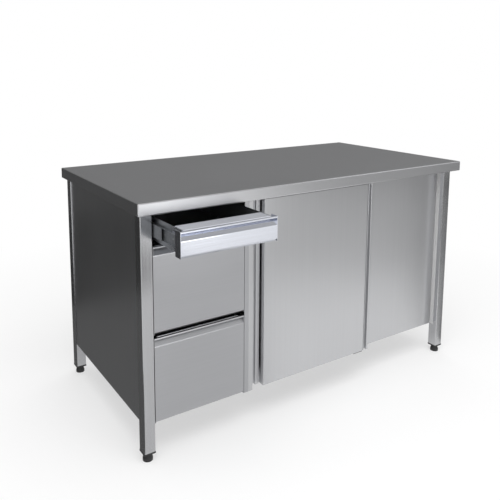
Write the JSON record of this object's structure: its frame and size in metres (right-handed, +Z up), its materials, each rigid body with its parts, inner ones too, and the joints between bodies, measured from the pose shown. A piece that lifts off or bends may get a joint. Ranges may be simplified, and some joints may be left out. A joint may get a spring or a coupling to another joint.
{
  "type": "coffee machine stand",
  "caption": "Free-standing stainless steel stand for an espresso machine: folded worktop, square legs on levelling feet, drawers on telescopic runners and overlapping sliding doors.",
  "frame": {"origin": "on the floor, under the middle of the bounding box of the stand as pictured, with its top drawer pulled out", "axes": "+X to the right as seen from the front, +Y to the back, +Z up"},
  "size_m": [1.5, 0.902, 0.87],
  "materials": {
    "brushed_steel": "fine brushed stainless steel",
    "polished_steel": "bright polished stainless steel",
    "zinc_steel": "bright zinc plate",
    "aluminium": "natural anodised",
    "black_plastic": "moulded black plastic",
    "white_nylon": "natural nylon",
    "board": "raw chipboard"
  },
  "bodies": {
    "cabinet": {"worktop_sheet": "brushed_steel", "worktop_board": "board", "leg_front_left": "brushed_steel", "leg_front_right": "brushed_steel", "leg_rear_left": "brushed_steel", "leg_rear_right": "brushed_steel", "insert_front_left": "black_plastic", "insert_front_right": "black_plastic", "insert_rear_left": "black_plastic", "insert_rear_right": "black_plastic", "side_panel_left": "brushed_steel", "side_panel_right": "brushed_steel", "rear_panel": "brushed_steel", "floor_panel": "brushed_steel", "front_rail": "brushed_steel", "rear_rail": "brushed_steel", "drawer_bay_wall": "brushed_steel", "partition": "brushed_steel", "door_jamb": "brushed_steel", "door_track": "aluminium", "door_guide": "black_plastic", "top_drawer_runner_left_outer": "zinc_steel", "top_drawer_runner_right_outer": "zinc_steel", "middle_drawer_runner_left_outer": "zinc_steel", "middle_drawer_runner_right_outer": "zinc_steel", "lower_drawer_runner_left_outer": "zinc_steel", "lower_drawer_runner_right_outer": "zinc_steel"},
    "top_drawer": {"top_drawer_front": "polished_steel", "top_drawer_box": "brushed_steel", "top_drawer_runner_left_inner": "zinc_steel", "top_drawer_runner_right_inner": "zinc_steel"},
    "middle_drawer": {"middle_drawer_front": "brushed_steel", "middle_drawer_box": "brushed_steel", "middle_drawer_runner_left_inner": "zinc_steel", "middle_drawer_runner_right_inner": "zinc_steel"},
    "lower_drawer": {"lower_drawer_front": "brushed_steel", "lower_drawer_box": "brushed_steel", "lower_drawer_runner_left_inner": "zinc_steel", "lower_drawer_runner_right_inner": "zinc_steel"},
    "top_drawer_runner_middles": {"top_drawer_runner_left_middle": "zinc_steel", "top_drawer_runner_right_middle": "zinc_steel"},
    "middle_drawer_runner_middles": {"middle_drawer_runner_left_middle": "zinc_steel", "middle_drawer_runner_right_middle": "zinc_steel"},
    "lower_drawer_runner_middles": {"lower_drawer_runner_left_middle": "zinc_steel", "lower_drawer_runner_right_middle": "zinc_steel"},
    "front_door": {"door_front": "brushed_steel", "door_front_grip": "brushed_steel", "hanger_front_left": "zinc_steel", "hanger_front_right": "zinc_steel"},
    "rear_door": {"door_rear": "brushed_steel", "hanger_rear_left": "zinc_steel", "hanger_rear_right": "zinc_steel"},
    "front_door_wheel_left": {"wheel_front_left": "white_nylon"},
    "front_door_wheel_right": {"wheel_front_right": "white_nylon"},
    "rear_door_wheel_left": {"wheel_rear_left": "white_nylon"},
    "rear_door_wheel_right": {"wheel_rear_right": "white_nylon"},
    "front_left_foot": {"foot_front_left": "black_plastic"},
    "front_right_foot": {"foot_front_right": "black_plastic"},
    "rear_left_foot": {"foot_rear_left": "black_plastic"},
    "rear_right_foot": {"foot_rear_right": "black_plastic"}
  },
  "joints": [
    {"name": "top_drawer_slide", "type": "slide", "parent": "cabinet", "child": "top_drawer", "axis": [0, -1, 0], "range_m": [-0.185, 0.315]},
    {"name": "middle_drawer_slide", "type": "slide", "parent": "cabinet", "child": "middle_drawer", "axis": [0, -1, 0], "range_m": [0, 0.5]},
    {"name": "lower_drawer_slide", "type": "slide", "parent": "cabinet", "child": "lower_drawer", "axis": [0, -1, 0], "range_m": [0, 0.5]},
    {"name": "top_drawer_runner_slide", "type": "slide", "parent": "cabinet", "child": "top_drawer_runner_middles", "axis": [0, -1, 0], "range_m": [-0.0925, 0.1575]},
    {"name": "middle_drawer_runner_slide", "type": "slide", "parent": "cabinet", "child": "middle_drawer_runner_middles", "axis": [0, -1, 0], "range_m": [0, 0.25]},
    {"name": "lower_drawer_runner_slide", "type": "slide", "parent": "cabinet", "child": "lower_drawer_runner_middles", "axis": [0, -1, 0], "range_m": [0, 0.25]},
    {"name": "front_door_slide", "type": "slide", "parent": "cabinet", "child": "front_door", "axis": [1, 0, 0], "range_m": [0, 0.4184]},
    {"name": "rear_door_slide", "type": "slide", "parent": "cabinet", "child": "rear_door", "axis": [-1, 0, 0], "range_m": [0, 0.4457]},
    {"name": "front_door_wheel_left_spin", "type": "hinge", "parent": "front_door", "child": "front_door_wheel_left", "pos_m": [-0.1875, -0.2435, 0.8342], "axis": [0, 1, 0], "range_deg": [0, 2398]},
    {"name": "front_door_wheel_right_spin", "type": "hinge", "parent": "front_door", "child": "front_door_wheel_right", "pos_m": [0.17325, -0.2435, 0.8342], "axis": [0, 1, 0], "range_deg": [0, 2398]},
    {"name": "rear_door_wheel_left_spin", "type": "hinge", "parent": "rear_door", "child": "rear_door_wheel_left", "pos_m": [0.25825, -0.2135, 0.8342], "axis": [0, -1, 0], "range_deg": [0, 2554]},
    {"name": "rear_door_wheel_right_spin", "type": "hinge", "parent": "rear_door", "child": "rear_door_wheel_right", "pos_m": [0.619, -0.2135, 0.8342], "axis": [0, -1, 0], "range_deg": [0, 2554]},
    {"name": "front_left_foot_turn", "type": "hinge", "parent": "cabinet", "child": "front_left_foot", "pos_m": [-0.71, -0.246, 0], "axis": [0, 0, 1], "continuous": true},
    {"name": "front_right_foot_turn", "type": "hinge", "parent": "cabinet", "child": "front_right_foot", "pos_m": [0.71, -0.246, 0], "axis": [0, 0, 1], "continuous": true},
    {"name": "rear_left_foot_turn", "type": "hinge", "parent": "cabinet", "child": "rear_left_foot", "pos_m": [-0.71, 0.426, 0], "axis": [0, 0, 1], "continuous": true},
    {"name": "rear_right_foot_turn", "type": "hinge", "parent": "cabinet", "child": "rear_right_foot", "pos_m": [0.71, 0.426, 0], "axis": [0, 0, 1], "continuous": true}
  ],
  "couplings": [
    {"joint": "top_drawer_runner_slide", "follows": "top_drawer_slide", "ratio": 0.5},
    {"joint": "middle_drawer_runner_slide", "follows": "middle_drawer_slide", "ratio": 0.5},
    {"joint": "lower_drawer_runner_slide", "follows": "lower_drawer_slide", "ratio": 0.5},
    {"joint": "front_door_wheel_left_spin", "follows": "front_door_slide", "rad_per_m": 100},
    {"joint": "front_door_wheel_right_spin", "follows": "front_door_slide", "rad_per_m": 100},
    {"joint": "rear_door_wheel_left_spin", "follows": "rear_door_slide", "rad_per_m": 100},
    {"joint": "rear_door_wheel_right_spin", "follows": "rear_door_slide", "rad_per_m": 100}
  ]
}
